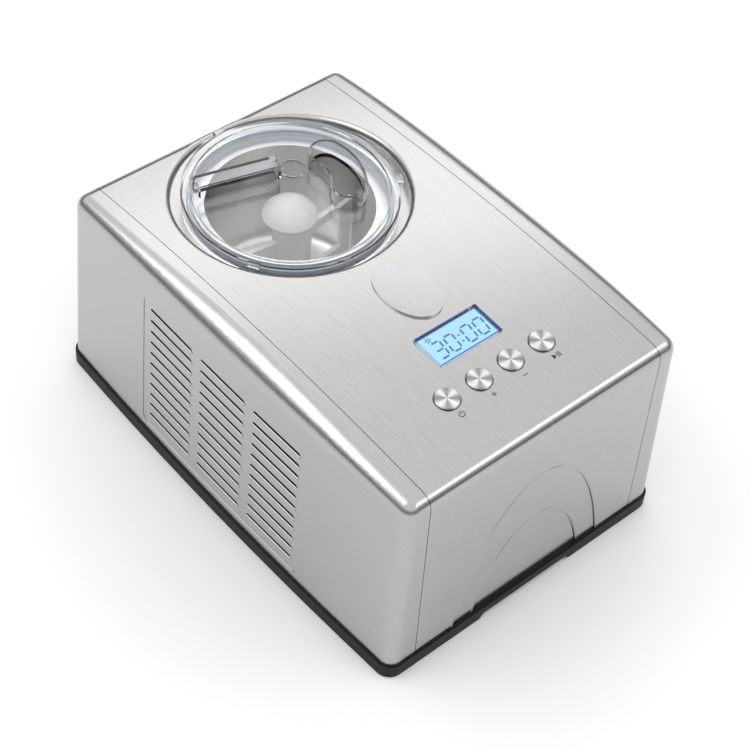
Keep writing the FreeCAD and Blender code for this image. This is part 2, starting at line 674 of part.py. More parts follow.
def make_controls():
    board_top = -size.board_drop
    flange_top = -size.post_drop
    window = fuse("display_window",
                  centred_box("window_pane", size.window_half_width, size.window_half_depth,
                              size.window_proud - flange_top + size.window_flange_height, 0, size.window_y,
                              flange_top - size.window_flange_height),
                  centred_box("window_rim", size.window_half_width + size.window_flange,
                              size.window_half_depth + size.window_flange, size.window_flange_height, 0,
                              size.window_y,
                              flange_top - size.window_flange_height))
    node(on_deck(window), "display_window")
    module_top = flange_top - size.window_flange_height
    module = centred_box("module_block", size.window_half_width - size.display_margin,
                         size.window_half_depth - size.display_margin, module_top - board_top, 0,
                         size.window_y,
                         board_top)
    node(on_deck(fuse("display_module", module, centred_box(
        "module_foot", size.window_half_width + size.window_flange,
        size.window_half_depth + size.window_flange,
        size.display_height / 2, 0, size.window_y, board_top))), "display_module")

    screw_hole = size.board_screw_radius + size.screw_fit
    plate = centred_box("carrier_plate", size.carrier_half_width, size.carrier_half_depth,
                        size.carrier_height, 0,
                        size.button_row, -size.carrier_top - size.carrier_height)
    posts, bores, board_holes, screws = [], [], [], []
    for i, (x, y) in enumerate(post_spots()):
        posts.append(cylinder("post_%d" % i, size.post_radius, size.board_drop - size.post_drop, x, y,
                              board_top))
        bores.append(cylinder("post_bore_%d" % i, screw_hole, size.board_drop / 2, x, y, board_top))
        board_holes.append(cylinder("board_hole_%d" % i, screw_hole, size.board_height, x, y,
                                    board_top - size.board_height))
        under_board = board_top - size.board_height
        screws.append(fuse("board_screw_%d" % i,
                           cylinder("board_shank_%d" % i, size.board_screw_radius, size.board_drop / 2, x, y,
                                    under_board),
                           cylinder("board_head_%d" % i, size.screw_head, size.screw_head_height, x, y,
                                    under_board - size.screw_head_height)))
    arms = []
    for side in (-1, 1):
        arms.append(box("carrier_arm_%d" % (side + 1), size.post_radius, size.post_back - size.button_row,
                        size.carrier_height, size.post_x * side - size.post_radius / 2, size.button_row,
                        -size.carrier_top - size.carrier_height))
    guides = [cylinder(name + "_guide", size.button_stem + size.stem_gap, size.carrier_height, x,
                       size.button_row,
                       -size.carrier_top - size.carrier_height) for name, x in zip(BUTTONS, button_spots())]
    carrier = cut("button_carrier", fuse("carrier_body", plate, *posts, *arms), *guides, *bores)
    node(on_deck(carrier), "button_carrier")
    board = box("board_blank", size.board_half_width * 2, size.board_back - size.board_front,
                size.board_height,
                -size.board_half_width, size.board_front, board_top - size.board_height)
    node(on_deck(cut("control_board", board, *board_holes)), "control_board")
    node(on_deck(group("board_screws", screws)), "board_screws")

    switches = []
    for name, x in zip(BUTTONS, button_spots()):
        switches.append(fuse(name + "_switch",
                             centred_box(name + "_switch_body", size.switch_half, size.switch_half,
                                         size.switch_height,
                                         x, size.button_row, board_top),
                             cylinder(name + "_plunger", size.plunger_radius,
                                      size.switch_height + size.plunger_height, x, size.button_row,
                                      board_top)))
        low = -size.button_depth
        seat = -size.button_seat - size.button_flange_height
        button = revolved(name, [
            (0, low), (size.button_stem, low), (size.button_stem, seat), (size.button_flange, seat),
            (size.button_flange, -size.button_seat), (size.button_radius, -size.button_seat),
            (size.button_radius, size.button_proud - size.button_edge),
            (size.button_radius - size.button_edge, size.button_proud),
            (0, size.button_proud - size.button_dish)])
        node(on_deck(button, x, size.button_row), name)
    node(on_deck(group("tact_switches", switches)), "tact_switches")


# Bowl, lid and the cold well around them
def well_levels():
    """Heights and radii that the bowl, tank, foam and collar share."""
    rim_low = size.bowl_rim_top - size.bowl_wall
    tank_inner = size.bowl_radius + size.tank_gap
    tank_outer = tank_inner + size.tank_wall
    tank_top = size.bowl_bottom - size.floor_gap
    return SimpleNamespace(rim_low=rim_low, tank_inner=tank_inner, tank_outer=tank_outer,
                           flange_low=rim_low - size.tank_wall, floor_top=tank_top,
                           floor_low=tank_top - size.tank_floor)


def coil_shoulder():
    return well_levels().tank_outer + size.fit_gap + size.coil_depth / 2


def coil_crest():
    """Largest radius of the round-backed evaporator tube."""
    half = size.coil_height / 2
    return coil_shoulder() + size.coil_round - root(size.coil_round * size.coil_round - half * half)


def coil_turn_middle(turn):
    return size.coil_low + size.coil_pitch * turn + size.coil_height / 2


def make_bowl():
    level = well_levels()
    inner = size.bowl_radius - size.bowl_wall
    floor = size.bowl_bottom + size.bowl_wall
    inner_corner = size.bowl_corner - size.bowl_wall
    node(revolved("bowl", [
        (size.column_bore, size.bowl_bottom), (size.bowl_radius - size.bowl_corner, size.bowl_bottom,
                                               size.bowl_corner),
        (size.bowl_radius, size.bowl_bottom + size.bowl_corner), (size.bowl_radius, level.rim_low),
        (size.bowl_rim_radius, level.rim_low), (size.bowl_rim_radius, size.bowl_rim_top),
        (inner, size.bowl_rim_top),
        (inner, floor + inner_corner, -inner_corner), (inner - inner_corner, floor),
        (size.column_radius, floor),
        (size.column_top_radius, size.column_top), (size.column_bore, size.column_top)], 0, bowl_y), "bowl")


def make_well():
    level = well_levels()
    bush_hole = size.bush_radius + size.fit_gap
    node(revolved("cooling_tank", [
        (bush_hole, level.floor_low), (level.tank_outer, level.floor_low),
        (level.tank_outer, level.flange_low),
        (size.tank_flange, level.flange_low), (size.tank_flange, level.rim_low),
        (level.tank_inner, level.rim_low),
        (level.tank_inner, level.floor_top), (bush_hole, level.floor_top)], 0, bowl_y), "cooling_tank")

    flat = level.tank_outer + size.fit_gap
    shoulder = coil_shoulder()
    turns = []
    for turn in range(COIL_TURNS):
        low = size.coil_low + size.coil_pitch * turn
        high = low + size.coil_height
        turns.append(revolved("coil_turn_%d" % turn,
                              [(flat, low), (shoulder, low, size.coil_round), (shoulder, high),
                                                      (flat, high)], 0, bowl_y))
    node(group("evaporator_coil", turns), "evaporator_coil")

    cavity = coil_crest() + size.foam_gap
    shaft_hole = size.bush_flange + size.foam_gap
    foam_low = size.gearbox_cover_low + size.gearbox_cover
    foam = revolved("foam_blank", [
        (shaft_hole, foam_low), (size.foam_radius, foam_low), (size.foam_radius, level.flange_low),
        (cavity, level.flange_low), (cavity, level.floor_low), (shaft_hole, level.floor_low)], 0, bowl_y)
    pockets = [cylinder("foam_pocket_%d" % i, size.screw_head + size.foam_gap,
                        size.screw_head_height + size.foam_gap,
                        x, y, foam_low) for i, (x, y) in enumerate(gearbox_ears())]
    reach = size.foam_radius * 2
    for label, z, radius in (("suction", coil_turn_middle(COIL_TURNS - 1), size.pipe_radius),
                             ("capillary", coil_turn_middle(0), size.capillary_radius)):
        pockets.append(cylinder(label + "_way", radius + size.foam_gap, reach, 0, bowl_y - reach, z, "Y"))
    node(cut("foam_jacket", foam, *pockets), "foam_jacket")

    outer = size.collar_radius + size.collar_wall
    flange_top = size.recess_floor - size.sheet - size.run_gap
    flange_low = flange_top - size.collar_flange_height
    node(revolved("collar_ring", [
        (size.collar_radius, level.rim_low), (outer, level.rim_low), (outer, flange_low),
        (size.collar_flange, flange_low), (size.collar_flange, flange_top), (outer, flange_top),
        (outer, size.collar_top), (size.collar_radius, size.collar_top)], 0, bowl_y), "collar_ring")


def kidney(name, half, low, height):
    """Upright prism along an arc about the bowl's axis, with round ends."""
    ring = cylinder(name + "_outer", size.chute_arc + half, height, 0, bowl_y, low)
    bind(ring, "Angle", size.chute_sweep)
    ring.Placement = FreeCAD.Placement(V(), FreeCAD.Rotation(V(0, 0, 1), num(size.chute_start)))
    place(ring, 0, bowl_y, low)
    core = cylinder(name + "_core", size.chute_arc - half, height, 0, bowl_y, low)
    ends = []
    for index, angle in enumerate((size.chute_start, size.chute_start + size.chute_sweep)):
        ends.append(cylinder("%s_end%d" % (name, index), half, height, size.chute_arc * cosine(angle),
                             bowl_y + size.chute_arc * sine(angle), low))
    return fuse(name, cut(name + "_sector", ring, core), *ends)


def grip_block(name, margin, low, height):
    """Bar laid along the grip's own line, from its outer end inwards."""
    start_x = size.grip_x + cosine(size.grip_angle) * margin
    start_y = bowl_y + size.grip_y + sine(size.grip_angle) * margin
    return bar(name, size.grip_length - sized(margin) * 2, size.grip_width / 2 - margin, height, start_x,
               start_y, low,
               size.grip_angle)


def make_lid():
    plate_low = size.lid_plate_top - size.lid_plate
    inner_wall = size.lid_inner + size.lid_wall
    outer_wall = size.lid_radius - size.lid_wall
    soft = size.lid_wall / 2
    shell = revolved("lid_shell", [
        (0, plate_low), (inner_wall, plate_low), (inner_wall, size.lid_top - size.lid_wall),
        (outer_wall, size.lid_top - size.lid_wall), (outer_wall, size.recess_floor + size.lid_gap),
        (size.lid_radius, size.recess_floor + size.lid_gap), (size.lid_radius, size.lid_top - soft),
        (size.lid_radius - soft, size.lid_top), (size.lid_inner + soft, size.lid_top),
        (size.lid_inner, size.lid_top - soft), (size.lid_inner, size.lid_plate_top), (0, size.lid_plate_top)],
        0, bowl_y)
    rise = size.chute_height + size.lid_plate
    solids = [shell, kidney("chute_wall", size.chute_half, plate_low, rise),
              grip_block("grip_outer", 0, plate_low, size.grip_height + size.lid_plate),
              cylinder("spot_ring", size.spot_radius, size.spot_height + size.lid_plate, size.spot_x,
                       bowl_y + size.spot_y, plate_low)]
    for index in range(LID_LUGS):
        angle = size.lug_angle + index * 360 / LID_LUGS
        start = size.lid_radius - size.lid_wall
        solids.append(bar("lid_lug_%d" % index, size.lid_wall + size.lug_reach, size.lug_width / 2,
                          size.lug_height,
                          cosine(angle) * start, bowl_y + sine(angle) * start,
                          size.lid_top - size.lug_height, angle))
    voids = [kidney("chute_way", size.chute_half - size.chute_wall, plate_low - size.cut_margin,
                    rise + size.cut_margin * 2),
             grip_block("grip_hollow", size.grip_wall, plate_low - size.cut_margin,
                        size.grip_height + size.lid_plate - size.grip_wall + size.cut_margin),
             cylinder("spot_dip", size.spot_radius - size.spot_height, wide, size.spot_x,
                      bowl_y + size.spot_y,
                      size.lid_plate_top)]
    node(cut("lid", fuse("lid_solid", *solids), *voids), "lid")


def make_paddle():
    dome_rise = size.hub_top - size.hub_edge
    dome = (size.hub_radius * size.hub_radius + dome_rise * dome_rise) / (dome_rise * 2)
    hub = revolved("paddle_hub", [
        (size.paddle_bore, size.paddle_low), (size.paddle_sleeve, size.paddle_low),
        (size.paddle_sleeve, size.hub_low - size.lid_plate),
        (size.hub_radius - size.blade_thick / 2, size.hub_low),
        (size.hub_radius, size.hub_edge, dome), (0, size.hub_top), (0, size.paddle_roof),
        (size.paddle_bore, size.paddle_roof)], 0, bowl_y)
    side = size.shaft_square / 2 + size.socket_gap
    socket = centred_box("paddle_socket", side, side, size.shaft_square_length + size.socket_gap * 2, 0,
                         bowl_y,
                         size.paddle_roof - size.socket_gap)
    inset = size.blade_rim
    wings = []
    for turn in (0, 180):
        frame = padded("blade_frame_%d" % turn, [
            (size.paddle_bore, size.paddle_low), (size.blade_radius, size.paddle_low + size.blade_foot),
            (size.blade_radius, size.blade_top), (size.paddle_bore, size.blade_top - size.blade_foot)],
            size.blade_thick, "XZ_Plane", 0, True)
        window = padded("blade_window_%d" % turn, [
            (size.paddle_sleeve + inset, size.paddle_low + inset + size.blade_foot / 2),
            (size.blade_radius - inset, size.paddle_low + inset + size.blade_foot),
            (size.blade_radius - inset, size.blade_top - inset),
            (size.paddle_sleeve + inset, size.blade_top - inset - size.blade_foot)],
            size.blade_thick * 2, "XZ_Plane", 0, True)
        for piece in (frame, window):
            piece.Placement = FreeCAD.Placement(V(), FreeCAD.Rotation(V(0, 0, 1), turn))
            place(piece, 0, bowl_y, 0)
        wings.append(cut("blade_%d" % turn, frame, window))
    bore = cylinder("paddle_bore_clear", size.paddle_bore, size.paddle_roof - size.paddle_low, 0, bowl_y,
                    size.paddle_low)
    node(cut("paddle", fuse("paddle_solid", hub, *wings), bore, socket), "paddle")


# Drive under the well
def pitch_radius(teeth):
    return size.tooth_module * teeth / 2


def drive_places():
    output = bowl_y
    idler = output - pitch_radius(size.output_teeth) - pitch_radius(size.idler_small)
    pinion = idler - pitch_radius(size.idler_big) - pitch_radius(size.pinion_teeth)
    low = size.gearbox_floor_low + size.gearbox_floor + size.gear_gap
    return SimpleNamespace(output=output, idler=idler, pinion=pinion, low=low,
                           high=low + size.gear_width + size.gear_gap)


def gear(name, teeth, y, z, bore):
    """Spur gear: a root disc and one straight-flanked tooth, patterned round the axis."""
    module, radius = size.tooth_module, pitch_radius(teeth)
    pitch = module * math.pi
    root_radius = radius - module * size.tooth_root
    body = padded(name, [(root_radius, 0, root_radius), (0, root_radius, root_radius),
                         (-root_radius, 0, root_radius),
                         (0, -root_radius, root_radius)], size.gear_width)
    foot, tip = pitch * size.tooth_foot, pitch * size.tooth_tip
    sunk = root_radius - module / 2
    outline = body_sketch(body, name + "_tooth_outline", "XY_Plane",
                          [(sunk, -foot), (radius + module, -tip), (radius + module, tip), (sunk, foot)])
    tooth = body.newObject("PartDesign::Pad", name + "_tooth")
    tooth.Profile = outline
    bind(tooth, "Length", size.gear_width)
    doc.recompute()
    ring = body.newObject("PartDesign::PolarPattern", name + "_teeth")
    ring.Originals = [tooth]
    ring.Axis = (origin_plane(body, "Z_Axis"), [""])
    ring.Angle = 360
    bind(ring, "Occurrences", teeth)
    body.Tip = ring
    place(body, 0, y, z)
    return cut(name + "_bored", body, cylinder(name + "_bore", bore, size.gear_width, 0, y, z))


def stadium(name, radius, back, front, low, height):
    """Round-ended plate shape from the output axis to the front of the gear train."""
    return fuse(name, cylinder(name + "_back", radius, height, 0, back, low),
                cylinder(name + "_front", radius, height, 0, front, low),
                centred_box(name + "_middle", radius, (back - front) / 2, height, 0, (back + front) / 2, low))


def leg_spots():
    spot = drive_places()
    return [(size.leg_x * side, y) for y in (spot.output + size.leg_x / 2, spot.pinion + size.leg_radius)
            for side in (-1, 1)]


def gearbox_inner():
    return pitch_radius(size.output_teeth) + size.tooth_module + size.gearbox_clear


def gearbox_ears():
    reach = gearbox_inner() + size.gearbox_wall + size.screw_head
    return [(reach * side, y) for y in (bowl_y, gearbox_front) for side in (-1, 1)]


def ear(name, x, y, low, height):
    """Screw ear that reaches out from the gearbox wall."""
    radius = size.ear_radius
    inwards = -size.screw_head if num(x) > 0 else size.screw_head
    return fuse(name, cylinder(name + "_round", radius, height, x, y, low),
                centred_box(name + "_web", size.screw_head, radius, height, x + inwards, y, low))


def make_gearbox():
    spot = drive_places()
    running = size.shaft_radius + size.run_gap
    floor_low = size.gearbox_floor_low
    floor_top = floor_low + size.gearbox_floor
    rim = size.gearbox_cover_low
    cover_top = rim + size.gearbox_cover
    inner = gearbox_inner()
    outer = inner + size.gearbox_wall
    screw_hole = size.screw_radius + size.screw_fit
    ears, cover_ears, pilots, cover_holes, screws = [], [], [], [], []
    for i, (x, y) in enumerate(gearbox_ears()):
        ears.append(ear("ear_%d" % i, x, y, rim - size.gear_width, size.gear_width))
        cover_ears.append(ear("cover_ear_%d" % i, x, y, rim, size.gearbox_cover))
        pilots.append(cylinder("ear_pilot_%d" % i, screw_hole, size.screw_length, x, y,
                               rim - size.screw_length))
        cover_holes.append(cylinder("cover_hole_%d" % i, screw_hole, size.gearbox_cover, x, y, rim))
        shank = cylinder("gearbox_shank_%d" % i, size.screw_radius, size.screw_length, x, y,
                         cover_top - size.screw_length)
        head = cylinder("gearbox_head_%d" % i, size.screw_head, size.screw_head_height, x, y, cover_top)
        screws.append(fuse("gearbox_screw_%d" % i, shank, head))
    casing = stadium("gearbox_outside", outer, spot.output, gearbox_front, floor_low, rim - floor_low)
    room = stadium("gearbox_room", inner, spot.output, gearbox_front, floor_top, rim - floor_top)
    legs = [cylinder("gearbox_leg_%d" % i, size.leg_radius, floor_low - ground, x, y, ground)
            for i, (x, y) in enumerate(leg_spots())]
    boss = cylinder("idler_boss", size.idler_pin * 2, size.gear_gap - size.run_gap * 2, 0, spot.idler,
                    floor_top)
    bores = [cylinder("output_bore", running, wide, 0, spot.output, 0),
             cylinder("idler_bore", size.idler_pin + size.fit_gap, wide, 0, spot.idler, 0),
             cylinder("pinion_bore", size.motor_shaft + size.gear_gap / 2, wide, 0, spot.pinion, 0)]
    cup = cut("gearbox_cup", fuse("gearbox_eared", casing, *ears), room)
    node(cut("gearbox_housing", fuse("gearbox_solid", cup, boss, *legs), *bores, *pilots), "gearbox_housing")
    plate = stadium("cover_plate", outer, spot.output, gearbox_front, rim, size.gearbox_cover)
    shaft_way = cylinder("cover_shaft_way", running, size.gearbox_cover, 0, spot.output, rim)
    node(cut("gearbox_cover", fuse("cover_blank", plate, *cover_ears), shaft_way, *cover_holes),
         "gearbox_cover")
    node(group("gearbox_screws", screws), "gearbox_screws")


def make_drive():
    spot = drive_places()
    running = size.shaft_radius + size.run_gap
    pin_run = size.idler_pin + size.run_gap
    floor_low = size.gearbox_floor_low
    shaft_top = size.paddle_roof - size.socket_gap * 4
    half = size.shaft_square / 2
    node(fuse("drive_shaft", cylinder("shaft_round", size.shaft_radius, shaft_top - size.shaft_low, 0,
                                      spot.output,
                                      size.shaft_low),
              centred_box("shaft_square_end", half, half, size.shaft_square_length, 0, spot.output,
                          shaft_top)),
         "drive_shaft")
    node(gear("output_wheel", size.output_teeth, spot.output, spot.high, size.shaft_radius + size.fit_gap),
         "output_gear")
    small = gear("idler_small_gear", size.idler_small, spot.idler, spot.high, pin_run)
    big = gear("idler_big_gear", size.idler_big, spot.idler, spot.low, pin_run)
    neck = cut("idler_neck", cylinder("idler_neck_out", pitch_radius(size.idler_small) * size.neck_share,
                                      size.gear_gap, 0, spot.idler,
                                      spot.low + size.gear_width),
               cylinder("idler_neck_bore", pin_run, size.gear_gap, 0, spot.idler, spot.low + size.gear_width))
    node(fuse("idler_gear", small, big, neck), "idler_gear")
    node(cylinder("idler_pin", size.idler_pin, size.gearbox_cover_low - floor_low, 0, spot.idler,
                  floor_low), "idler_pin")
    pinion = gear("pinion_teeth", size.pinion_teeth, spot.pinion, spot.low, size.motor_shaft)
    stem_low = size.motor_low + size.gear_width
    stem = cylinder("pinion_shaft", size.motor_shaft, spot.low - size.motor_low, 0, spot.pinion, stem_low)
    node(fuse("motor_pinion", pinion, stem), "motor_pinion")
    can = cylinder("motor_can", size.motor_radius, floor_low - size.motor_low, 0, spot.pinion, size.motor_low)
    well = cylinder("motor_well", size.motor_shaft + size.run_gap, wide, 0, spot.pinion,
                    stem_low - size.gear_gap / 4)
    node(cut("drive_motor", can, well), "drive_motor")

    level = well_levels()
    flange_low = level.floor_low - size.bush_flange_height
    node(revolved("shaft_bush", [
        (running, flange_low), (size.bush_flange, flange_low), (size.bush_flange, level.floor_low),
        (size.bush_radius, level.floor_low), (size.bush_radius, level.floor_top), (running, level.floor_top)],
        0, spot.output), "shaft_bush")
    seal_low = flange_low - size.seal_height
    node(revolved("shaft_seal", [
        (running, seal_low), (size.bush_radius, seal_low), (size.bush_radius, flange_low),
        (running, flange_low)],
        0, spot.output), "shaft_seal")


# Cooling circuit in the front chamber
def compressor_feet():
    return [(size.can_x + size.foot_reach * cosine(sized(turn)),
             chamber_y + size.foot_reach * sine(sized(turn)))
            for turn in THIRDS]


def make_compressor():
    bulge = size.can_radius * size.can_radius + size.can_dome * size.can_dome
    dome = bulge / (size.can_dome * 2)
    waist = (size.can_low + size.can_top) / 2
    proud = size.can_radius + size.can_seam
    can = revolved("compressor_can", [
        (0, size.can_low), (size.can_radius - size.can_dome, size.can_low, size.can_dome),
        (size.can_radius, size.can_low + size.can_dome), (size.can_radius, waist - size.can_seam_height),
        (proud, waist - size.can_seam_height), (proud, waist), (size.can_radius, waist),
        (size.can_radius, size.can_top - size.can_dome, dome), (0, size.can_top)], size.can_x, chamber_y)
    plate_low = size.can_low - size.plate_height
    plate = [cylinder("compressor_plate", size.can_radius, size.plate_height, size.can_x, chamber_y,
                      plate_low)]
    ear_radius = size.grommet_radius + size.plate_height
    holes, grommets, bolts = [], [], []
    for i, (x, y) in enumerate(compressor_feet()):
        plate.append(bar("plate_arm_%d" % i, size.foot_reach, ear_radius, size.plate_height, size.can_x,
                         chamber_y,
                         plate_low, THIRDS[i]))
        plate.append(cylinder("plate_ear_%d" % i, ear_radius, size.plate_height, x, y, plate_low))
        holes.append(cylinder("plate_hole_%d" % i, size.grommet_neck + size.fit_gap, size.plate_height, x,
                              y, plate_low))
        bore = size.bolt_radius + size.screw_fit
        cap = size.can_low + size.grommet_cap
        grommets.append(revolved("grommet_%d" % i, [
            (bore, ground), (size.grommet_radius, ground), (size.grommet_radius, plate_low),
            (size.grommet_neck, plate_low), (size.grommet_neck, size.can_low),
            (size.grommet_radius, size.can_low),
            (size.grommet_radius, cap), (bore, cap)], x, y))
        bolts.append(fuse("mount_bolt_%d" % i,
                          cylinder("mount_shank_%d" % i, size.bolt_radius, cap - ground, x, y, ground),
                          cylinder("mount_head_%d" % i, size.bolt_head, size.bolt_head_height, x, y, cap)))
    node(cut("compressor", fuse("compressor_solid", can, *plate), *holes), "compressor")
    node(group("compressor_grommets", grommets), "compressor_grommets")
    node(group("compressor_bolts", bolts), "compressor_bolts")


def make_fan():
    plate = box("shroud_plate", size.shroud_plate, size.shroud_half * 2, size.shroud_half * 2,
                size.fan_x + size.shroud_depth,
                chamber_y - size.shroud_half, ground)
    ring = cylinder("shroud_ring_out", size.shroud_ring, size.shroud_depth, size.fan_x, chamber_y, fan_z, "X")
    throat = cylinder("shroud_throat", size.shroud_ring - size.shroud_ring_wall, wide,
                      size.fan_x - size.cut_margin, chamber_y,
                      fan_z, "X")
    arms = []
    for turn in THIRDS:
        arm = box("spider_%d" % turn, size.shroud_plate, size.spider_width,
                  size.shroud_ring - size.shroud_ring_wall / 2)
        arm.Placement = FreeCAD.Placement(V(), FreeCAD.Rotation(V(1, 0, 0), turn))
        swing = math.radians(turn)
        half = size.spider_width / 2
        arms.append(place(arm, size.fan_x, chamber_y - half * math.cos(swing),
                          fan_z - half * math.sin(swing)))
    seat = cylinder("spider_seat", size.fan_motor_radius + size.shroud_plate, size.shroud_plate,
                    size.fan_x, chamber_y,
                    fan_z, "X")
    motor_hole = cylinder("spider_bore", size.fan_pin * 2, size.shroud_plate, size.fan_x, chamber_y, fan_z,
                          "X")
    shell = cut("shroud_shell", fuse("shroud_blank", plate, ring), throat)
    node(cut("fan_shroud", fuse("shroud_solid", shell, seat, *arms), motor_hole), "fan_shroud")

    motor_x = size.fan_x - size.fan_motor_length
    pin_end = size.fan_x + size.fan_axial_gap + size.fan_hub_height
    node(fuse("fan_motor", cylinder("fan_motor_can", size.fan_motor_radius, size.fan_motor_length, motor_x,
                                    chamber_y,
                                    fan_z, "X"),
              cylinder("fan_motor_pin", size.fan_pin, pin_end - motor_x, motor_x, chamber_y, fan_z, "X")),
         "fan_motor")
    hub_x = size.fan_x + size.shroud_plate + size.fan_axial_gap
    hub = cylinder("fan_hub", size.fan_hub, size.fan_hub_height, hub_x, chamber_y, fan_z, "X")
    blades = []
    upright, slant = cosine(size.blade_pitch_angle), sine(size.blade_pitch_angle)
    for index in range(FAN_BLADES):
        swing = sized(index * 360 / FAN_BLADES)
        blade = box("fan_blade_%d" % index, size.fan_blade, size.blade_chord,
                    size.fan_radius - size.fan_hub / 2)
        pitch = FreeCAD.Rotation(V(0, 0, 1), num(size.blade_pitch_angle))
        blade.Placement = FreeCAD.Placement(V(), FreeCAD.Rotation(V(1, 0, 0), num(swing)) * pitch)
        across, lift = (size.fan_blade * slant + size.blade_chord * upright) / -2, size.fan_hub / 2
        place(blade, hub_x + (size.fan_hub_height - size.fan_blade * upright + size.blade_chord * slant) / 2,
              chamber_y + across * cosine(swing) - lift * sine(swing),
              fan_z + across * sine(swing) + lift * cosine(swing))
        blades.append(blade)
    bore = cylinder("fan_bore", size.fan_pin + size.run_gap, wide, hub_x - size.cut_margin, chamber_y,
                    fan_z, "X")
    node(cut("fan_rotor", fuse("fan_wheel", hub, *blades), bore), "fan_rotor")


def make_condenser():
    pieces = []
    step = size.condenser_half * 2 / size.fin_count
    for index in range(int(num(size.fin_count)) + 1):
        y = chamber_y - size.condenser_half + step * index
        pieces.append(box("fin_%d" % index, size.condenser_thick, size.fin_thick, size.condenser_top - ground,
                          condenser_x, y, ground))
    rise = (size.condenser_top - ground) / size.tube_rows
    for row in range(int(num(size.tube_rows))):
        for column in (0, 1):
            pieces.append(cylinder("tube_%d_%d" % (row, column), size.tube_radius,
                                   size.condenser_half * 2 + size.tube_radius * 4,
                                   condenser_x + size.condenser_thick * (column * 2 + 1) / 4,
                                   chamber_y - size.condenser_half - size.tube_radius * 2,
                                   ground + rise * (row + 0.5), "Y"))
    node(fuse("condenser", *pieces), "condenser")


def pipe(name, points, radius, bend):
    """Tube along straight runs joined by equal tangent bends."""
    spots = [V(*[num(value) for value in point]) for point in points]
    edges, start = [], spots[0]
    for before, corner, after in zip(spots, spots[1:], spots[2:]):
        way_in = (corner - before).normalize()
        way_out = (after - corner).normalize()
        half = way_in.getAngle(way_out) / 2
        setback = num(bend) * math.tan(half)
        first, last = corner - way_in * setback, corner + way_out * setback
        inward = (way_out - way_in).normalize()
        middle = corner + inward * (num(bend) / math.cos(half) - num(bend))
        edges.append(Part.LineSegment(start, first).toShape())
        edges.append(Part.Arc(first, middle, last).toShape())
        start = last
    edges.append(Part.LineSegment(start, spots[-1]).toShape())
    profile = Part.Wire(Part.Circle(spots[0], spots[1] - spots[0], num(radius)).toShape())
    obj = doc.addObject("Part::Feature", name)
    obj.Shape = Part.Wire(edges).makePipeShell([profile], True, False)
    return node(obj, name)


def make_pipework():
    tube_x = condenser_x + size.condenser_thick / 4
    tube_end = chamber_y - size.condenser_half - size.tube_radius * 2
    rise = (size.condenser_top - ground) / size.tube_rows
    first_z, last_z = ground + rise / 2, size.condenser_top - rise / 2
    front = tube_end - size.pipe_bend * 2
    taper = size.drier_taper
    shoulder = taper * 2 + size.drier_length
    drier = revolved("filter_drier", [
        (0, 0), (size.pipe_radius, 0), (size.pipe_radius, taper), (size.drier_radius, taper * 2),
        (size.drier_radius, shoulder), (size.pipe_radius, shoulder + taper),
        (size.pipe_radius, shoulder + taper * 2),
        (0, shoulder + taper * 2)])
    drier.Placement = FreeCAD.Placement(V(), AXIS_TURN["X"])
    node(place(drier, size.drier_x, front, first_z), "filter_drier")

    pipe("discharge_pipe", [
        (size.can_x, chamber_y - size.can_radius, last_z), (size.can_x, front, last_z),
        (tube_x, front, last_z),
        (tube_x, tube_end, last_z)], size.pipe_radius, size.pipe_bend)
    pipe("liquid_pipe", [
        (tube_x, tube_end, first_z), (tube_x, front, first_z),
        (size.drier_x + shoulder + taper * 2, front, first_z)],
        size.pipe_radius, size.pipe_bend)
    coil_face = bowl_y - coil_crest() - size.fit_gap
    low_turn, high_turn = coil_turn_middle(0), coil_turn_middle(COIL_TURNS - 1)
    pipe("capillary_pipe", [
        (size.drier_x, front, first_z), (size.riser_x, front, first_z), (size.riser_x, front, low_turn),
        (size.riser_x, crossing_y, low_turn), (0, crossing_y, low_turn), (0, coil_face, low_turn)],
        size.capillary_radius, size.capillary_bend)
    pipe("suction_pipe", [
        (0, coil_face, high_turn), (0, crossing_y, high_turn), (size.can_x, crossing_y, high_turn),
        (size.can_x, crossing_y, last_z), (size.can_x, chamber_y + size.can_radius, last_z)],
        size.pipe_radius, size.pipe_bend)


def finish():
    doc.recompute()
    for obj in doc.Objects:
        bad = [word for word in obj.State if word in ("Invalid", "Error")]
        if bad:
            raise RuntimeError("%s is %s" % (obj.Name, bad[0]))
    for obj in NODES:
        if obj.Shape.isNull() or not obj.Shape.isValid() or not obj.Shape.Solids:
            raise RuntimeError("%s has no valid solid" % obj.Label)
    os.makedirs("parts", exist_ok=True)
    for obj in NODES:
        obj.Shape.exportStep("parts/%s.step" % obj.Label)
    print("%d nodes" % len(NODES))


for make in (make_housing, make_base, make_back_hardware, make_controls, make_bowl, make_well, make_lid,
             make_paddle,
             make_gearbox, make_drive, make_compressor, make_fan, make_condenser, make_pipework):
    make()
finish()
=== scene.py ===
import math

import bmesh
import bpy
from mathutils import Matrix, Vector
from mathutils.bvhtree import BVHTree


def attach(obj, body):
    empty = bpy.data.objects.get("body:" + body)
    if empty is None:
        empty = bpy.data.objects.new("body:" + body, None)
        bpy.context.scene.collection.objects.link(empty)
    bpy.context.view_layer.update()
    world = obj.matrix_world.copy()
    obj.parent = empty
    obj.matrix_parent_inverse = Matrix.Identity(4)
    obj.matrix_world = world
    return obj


# Looks of the ice cream maker: a finish for every CAD node, rolled arch edges, printed and lit
# details, floor, lights and camera. Metres, +Z up, front towards -Y, in the CAD frame.

